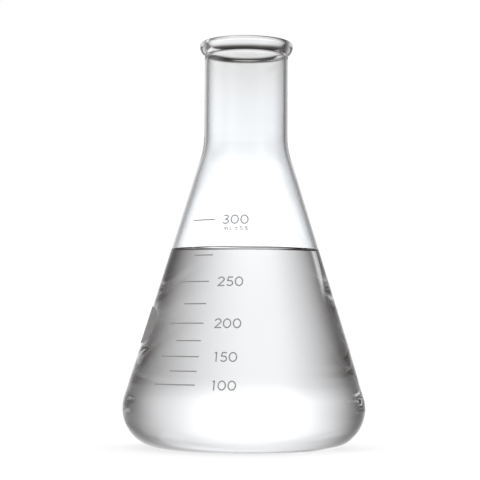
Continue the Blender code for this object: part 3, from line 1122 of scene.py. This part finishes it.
class FLASK_OT_add_lines(bpy.types.Operator):
    """Add the lines of the scale"""

    bl_idname = "flask.add_lines"
    bl_label = "Add Scale Lines"

    def execute(self, context):
        scale = context.scene.flask_scale
        shape = FlaskShape(context.scene.flask_glass)
        tree = line_tree()
        for reading in READINGS:
            height = shape.mark_height(reading, scale)
            turn = scale.top_turn if reading == TOP_READING else 0.0
            start = scale.short_start if reading % NUMBERED_STEP else scale.long_start
            made = settled(
                f"scale_line_{reading}",
                bpy.data.meshes.new("start"),
                tree,
                {
                    "Radius": shape.cone_radius(height),
                    "Height": height,
                    "Start": start + turn,
                    "End": scale.line_end + turn,
                    "Width": scale.line_width,
                    "Lift": ENAMEL_LIFT,
                    "Thickness": scale.thickness,
                    "Cone Angle": context.scene.flask_glass.cone_angle,
                    "Seed": reading / 1000,
                    "Finish": enamel_finish("grey enamel", scale.enamel, SCALE_GRAIN),
                },
            )
            weld(made.data)
            tie(made, "grey_enamel", f"line_{reading}_ml")
        return {"FINISHED"}


class FLASK_OT_add_numbers(bpy.types.Operator):
    """Add the numbers of the scale, digit by digit"""

    bl_idname = "flask.add_numbers"
    bl_label = "Add Numbers"

    def execute(self, context):
        scale = context.scene.flask_scale
        shape = FlaskShape(context.scene.flask_glass)
        size = scale.digit_height
        for reading in READINGS:
            if reading % NUMBERED_STEP:
                continue
            top = reading == TOP_READING
            azimuth = scale.top_number_azimuth if top else scale.number_azimuth
            place = (shape.mark_height(reading, scale), azimuth)
            digits = str(reading)
            widths = [glyph(digit, scale.digit_stroke / size)[0] * size for digit in digits]
            # The space after a 1 is twice as wide, because the 1 itself is narrow.
            spaces = [scale.digit_space * (2 if digit == "1" else 1) for digit in digits[:-1]]
            left = -(sum(widths) + sum(spaces)) / 2
            for digit, position, width, space in zip(digits, PLACES, widths, spaces + [0.0]):
                quads, _ = character_quads(digit, size, scale.digit_stroke, left, -size / 2)
                node = f"digit_{digits}_{position}"
                add_character(f"number_{digits}_{position}", node, quads, place, scale, shape)
                left += width + space
        return {"FINISHED"}


class FLASK_OT_add_unit(bpy.types.Operator):
    """Add the unit and the tolerance below the top number"""

    bl_idname = "flask.add_unit"
    bl_label = "Add Unit"

    def execute(self, context):
        scale = context.scene.flask_scale
        shape = FlaskShape(context.scene.flask_glass)
        size = scale.unit_height
        place = (shape.mark_height(TOP_READING, scale), scale.unit_azimuth)
        base = -scale.unit_drop - size / 2
        pen = scale.unit_stroke / size
        ring_size = glyph("ring", pen)[0] * size
        slash = glyph("slash", pen)[0] * size
        overlap = ring_size * 0.30
        # Node, character, shift to the right, rise, and the space after it, which is None
        # where the next character starts from the same place.
        rows = [
            ("unit_m", "m", 0.0, 0.0, scale.unit_space),
            ("unit_l", "L", 0.0, 0.0, scale.unit_word_space),
            ("tolerance_plus", "plus", 0.0, 0.0, None),
            ("tolerance_minus", "bar", 0.0, 0.0, scale.unit_space),
            ("tolerance_5", "5", 0.0, 0.0, scale.unit_space),
            ("percent_ring_upper", "ring", 0.0, size - ring_size, None),
            ("percent_slash", "slash", overlap, 0.0, None),
            ("percent_ring_lower", "ring", slash + 2 * overlap - ring_size, 0.0, 0.0),
        ]
        total = 0.0
        for _, character, shift, _, space in rows:
            if space is not None:
                total += shift + glyph(character, pen)[0] * size + space
        left = -total / 2
        for node, character, shift, rise, space in rows:
            quads, width = character_quads(
                character, size, scale.unit_stroke, left + shift, base + rise
            )
            add_character("print_" + node, node, quads, place, scale, shape)
            if space is not None:
                left += width + space
        return {"FINISHED"}


class FLASK_OT_add_spot(bpy.types.Operator):
    """Add the blunt oval marking spot"""

    bl_idname = "flask.add_spot"
    bl_label = "Add Marking Spot"

    def execute(self, context):
        spot = context.scene.flask_spot
        shape = FlaskShape(context.scene.flask_glass)
        rings, steps = 14, 120
        flat = [Vector((0.0, 0.0))]
        for ring_index in range(1, rings + 1):
            share = (ring_index / rings) ** 0.6
            for step in range(steps):
                turn = 2 * math.pi * step / steps
                across, up = math.cos(turn), math.sin(turn)
                blunt = abs(across) ** spot.squareness + abs(up) ** spot.squareness
                out = share / blunt ** (1 / spot.squareness)
                flat.append(Vector((spot.width / 2 * out * across, spot.height / 2 * out * up)))
        triangles = []
        for step in range(steps):
            after = (step + 1) % steps
            triangles.append([0, 1 + step, 1 + after])
            for ring_index in range(rings - 1):
                low = 1 + ring_index * steps
                high = low + steps
                triangles.append([low + step, high + step, high + after])
                triangles.append([low + step, high + after, low + after])
        seat = wall_seat(shape, spot.level, spot.azimuth, ENAMEL_LIFT)
        mesh = enamel_mesh("marking_patch", flat, triangles, seat, spot.thickness)
        mesh.materials.append(enamel_finish("spot enamel", spot.enamel, SPOT_GRAIN))
        tie(placed("marking_patch", mesh), "spot_enamel", "marking_spot")
        return {"FINISHED"}


class FLASK_OT_add_stage(bpy.types.Operator):
    """Add the floor, the surroundings, the lights and the camera"""

    bl_idname = "flask.add_stage"
    bl_label = "Add Stage"

    def execute(self, context):
        stage = context.scene.flask_stage
        add_floor(stage)
        add_strip(stage, "lit_strip_left", AHEAD_LEFT, near=0.145, far=0.480, width=0.110)
        add_strip(stage, "lit_strip_back", BACK_RIGHT, near=0.300, far=1.150, width=0.200)
        add_surroundings(context.scene, stage)
        add_camera(context.scene, stage)
        set_light_paths(context.scene)
        return {"FINISHED"}


def add_floor(stage):
    """A pale round floor with a soft glow of its own, which glass and water don't show."""
    shape = bmesh.new()
    bmesh.ops.create_circle(shape, cap_ends=True, segments=96, radius=stage.floor_radius)
    mesh = bpy.data.meshes.new("floor")
    shape.to_mesh(mesh)
    shape.free()
    mesh.transform(Matrix.Translation((0.0, 0.0, -FLOOR_DROP)))
    floor = placed("floor", mesh)
    floor.visible_transmission = False
    floor.visible_glossy = False

    made, maker = new_material("pale floor")
    glow = maker.node("ShaderNodeEmission", {}, {"Color": WHITE, "Strength": 1.1})
    matt = maker.node("ShaderNodeBsdfDiffuse", {}, {"Color": four(stage.floor)})
    both = maker.node("ShaderNodeMixShader", {}, {0: 0.30, 1: glow, 2: matt})
    maker.node("ShaderNodeOutputMaterial", {}, {"Surface": both})
    mesh.materials.append(made)


def hidden_light(name, mesh, stage, share_of):
    """A glowing piece of the studio that only glass and water show."""
    lit = placed(name, mesh)
    lit.visible_camera = False
    lit.visible_diffuse = False
    lit.visible_shadow = False
    made, maker = new_material(name.replace("_", " "))
    place = maker.node("ShaderNodeTexCoord", out="Object")
    glow = maker.node("ShaderNodeEmission", {}, {"Color": four(stage.panel), "Strength": 0.96})
    clear = maker.node("ShaderNodeBsdfTransparent")
    share = share_of(maker, place)
    both = maker.node("ShaderNodeMixShader", {}, {0: share, 1: clear, 2: glow})
    maker.node("ShaderNodeOutputMaterial", {}, {"Surface": both})
    mesh.materials.append(made)


def add_strip(stage, name, azimuth, near, far, width):
    """A lit strip of bench, from near to far along an azimuth in degrees."""
    turn = math.radians(azimuth)
    away = Vector((math.sin(turn), math.cos(turn), 0.0))
    across = Vector((away.y, -away.x, 0.0))
    half = width / 2
    shape = bmesh.new()
    corners = []
    for side, end in ((-half, near), (half, near), (half, far), (-half, far)):
        corners.append(shape.verts.new(away * end + across * side))
    shape.faces.new(corners)
    mesh = bpy.data.meshes.new(name)
    shape.to_mesh(mesh)
    shape.free()
    soft = width * 0.25

    def share_of(maker, place):
        aside = maker.vector("DOT_PRODUCT", place, tuple(across), out="Value").math("ABSOLUTE")
        reach = maker.vector("DOT_PRODUCT", place, tuple(away), out="Value")
        share = maker.range(aside, half - soft, half, 1.0, 0.0)
        share = share * maker.range(reach, near, near + soft)
        return share * maker.range(reach, far - soft, far, 1.0, 0.0)

    hidden_light(name, mesh, stage, share_of)


class Room:
    """Soft-edged shares of the directions round the flask, placed in degrees."""

    def __init__(self, maker):
        self.maker = maker
        ray = maker.node("ShaderNodeTexCoord", out="Generated")
        parts = maker.node("ShaderNodeSeparateXYZ", {}, {"Vector": ray})
        self.azimuth = parts["X"].math("ARCTAN2", parts["Y"])
        self.elevation = parts["Z"].math("ARCSINE")

    def aside(self, centre):
        """Angle, in radians, between a direction and an azimuth."""
        turned = self.azimuth - math.radians(centre)
        return self.maker.math("WRAP", turned, math.pi, -math.pi)

    def bell(self, centre, width):
        """A panel that fades evenly on both sides of its middle."""
        across = self.aside(centre) / math.radians(width)
        return (-(across * across)).math("EXPONENT")

    def panel(self, centre, full, faded):
        """A panel that is full near its middle and then fades."""
        return 1.0 - self.ramp(self.aside(centre).math("ABSOLUTE"), full, faded)

    def band(self, low, full_low, full_high, high):
        """A band of elevations that is full between two of them."""
        rising = self.ramp(self.elevation, low, full_low)
        falling = self.ramp(self.elevation, full_high, high)
        return rising * (1.0 - falling)

    def ramp(self, value, low, high):
        """A smooth rise of an angle from 0 at low to 1 at high."""
        return self.maker.range(value, math.radians(low), math.radians(high))


def lit_share(room):
    """How bright each direction is, as a share of the lit panels."""
    table = room.band(-34.0, -14.0, 16.0, 29.0) * 1.02
    screen = room.band(-12.0, 1.0, 5.0, 8.5) * 0.40
    ahead = room.bell(AHEAD, 27.5) * (table + screen)
    lane = room.bell(AHEAD, 16.0) * room.band(-60.0, -45.0, -26.0, -15.0) * 0.8
    side = room.bell(LEFT, 22.0) * room.band(-40.0, -20.0, 16.0, 31.0) * 1.1
    wide = room.band(-48.0, -30.0, 30.0, 45.0) * 0.6
    upper = room.band(10.0, 18.0, 40.0, 55.0) * 0.4
    lower = room.band(-35.0, -31.0, -26.0, -22.0) * 0.4
    back = room.bell(BACK_RIGHT, 18.0) * (wide + upper + lower)
    low = room.panel(AHEAD_LEFT, 25.0, 45.0) * room.band(-62.0, -52.0, -45.0, -38.0)
    high = room.panel(AHEAD_LEFT, 12.0, 28.0) * room.band(20.0, 28.0, 50.0, 65.0)
    top = room.ramp(room.elevation, 65.0, 80.0) * 0.6
    return ahead + lane + side + back + low + high + top


def shade_share(room):
    """How bright the room between the panels is, as a share of its brightest place."""
    below = 1.0 - room.ramp(room.elevation, 24.0, 40.0)
    return 0.30 + room.bell(AHEAD, 75.0) * 0.70 * below


def add_surroundings(scene, stage):
    """A white room; glass and water show lit panels in it with shade between them."""
    world = bpy.data.worlds.new("studio")
    scene.world = world
    world.use_nodes = True
    world.node_tree.nodes.clear()
    maker = Maker(world.node_tree)
    room = Room(maker)
    lit = lit_share(room) * stage.backdrop
    unlit = 1.0 - lit.math("MINIMUM", 1.0)
    shade = maker.scaled(tuple(stage.shade), shade_share(room) * unlit)
    shown = maker.vector("ADD", shade, maker.scaled(tuple(stage.panel), lit))
    path = maker.node("ShaderNodeLightPath")
    plain = path["Is Camera Ray"].math("MAXIMUM", path["Is Diffuse Ray"])
    tint = maker.mix(plain, shown, four([stage.ambient] * 3))
    light = maker.node("ShaderNodeBackground", {}, {"Color": tint, "Strength": 1.0})
    maker.node("ShaderNodeOutputWorld", {}, {"Surface": light})


def add_camera(scene, stage):
    """The camera in front of the scale, low and looking slightly up."""
    lens = bpy.data.cameras.new("camera")
    lens.lens = stage.lens
    lens.sensor_width = 36.0
    lens.clip_start = 0.01
    camera = bpy.data.objects.new("camera", lens)
    scene.collection.objects.link(camera)
    turn = Matrix.Rotation(stage.yaw, 4, "Z")
    turn = turn @ Matrix.Rotation(math.pi / 2 + stage.pitch, 4, "X")
    turn = turn @ Matrix.Rotation(stage.roll, 4, "Z")
    camera.matrix_world = Matrix.Translation((0.0, -stage.distance, stage.camera_height)) @ turn
    scene.camera = camera


def set_light_paths(scene):
    """Enough bounces for glass in glass, and plain colour handling."""
    scene.view_settings.view_transform = "Standard"
    scene.cycles.max_bounces = 32
    scene.cycles.transmission_bounces = 32
    scene.cycles.glossy_bounces = 16
    scene.cycles.diffuse_bounces = 4
    scene.cycles.transparent_max_bounces = 32
    scene.cycles.caustics_refractive = True
    scene.cycles.caustics_reflective = True
    scene.cycles.blur_glossy = 0.0


class FLASK_PT_sidebar(bpy.types.Panel):
    """Lists the flask's pieces"""

    bl_idname = "FLASK_PT_sidebar"
    bl_label = "Erlenmeyer Flask"
    bl_space_type = "VIEW_3D"
    bl_region_type = "UI"
    bl_category = "Flask"

    def draw(self, context):
        for group, operators in STEPS.items():
            for operator in operators:
                self.layout.operator(operator)
            settings = getattr(context.scene, group)
            for name in settings.__annotations__:
                self.layout.prop(settings, name)


STEPS = {
    "flask_glass": ("flask.add_glass",),
    "flask_water": ("flask.add_water",),
    "flask_scale": ("flask.add_lines", "flask.add_numbers", "flask.add_unit"),
    "flask_spot": ("flask.add_spot",),
    "flask_stage": ("flask.add_stage",),
}
GROUPS = {
    "flask_glass": FLASK_PG_glass,
    "flask_water": FLASK_PG_water,
    "flask_scale": FLASK_PG_scale,
    "flask_spot": FLASK_PG_spot,
    "flask_stage": FLASK_PG_stage,
}
CLASSES = (
    *GROUPS.values(),
    FLASK_OT_add_glass,
    FLASK_OT_add_water,
    FLASK_OT_add_lines,
    FLASK_OT_add_numbers,
    FLASK_OT_add_unit,
    FLASK_OT_add_spot,
    FLASK_OT_add_stage,
    FLASK_PT_sidebar,
)


def register():
    """Register every class and hang the settings on the scene."""
    for one in CLASSES:
        bpy.utils.register_class(one)
    for name, group in GROUPS.items():
        setattr(bpy.types.Scene, name, PointerProperty(type=group))


def unregister():
    """Undo register."""
    for name in GROUPS:
        delattr(bpy.types.Scene, name)
    for one in reversed(CLASSES):
        bpy.utils.unregister_class(one)


def main():
    """Make every piece in order."""
    register()
    bpy.ops.flask.add_glass()
    bpy.ops.flask.add_water()
    bpy.ops.flask.add_lines()
    bpy.ops.flask.add_numbers()
    bpy.ops.flask.add_unit()
    bpy.ops.flask.add_spot()
    bpy.ops.flask.add_stage()


if __name__ == "__main__":
    main()
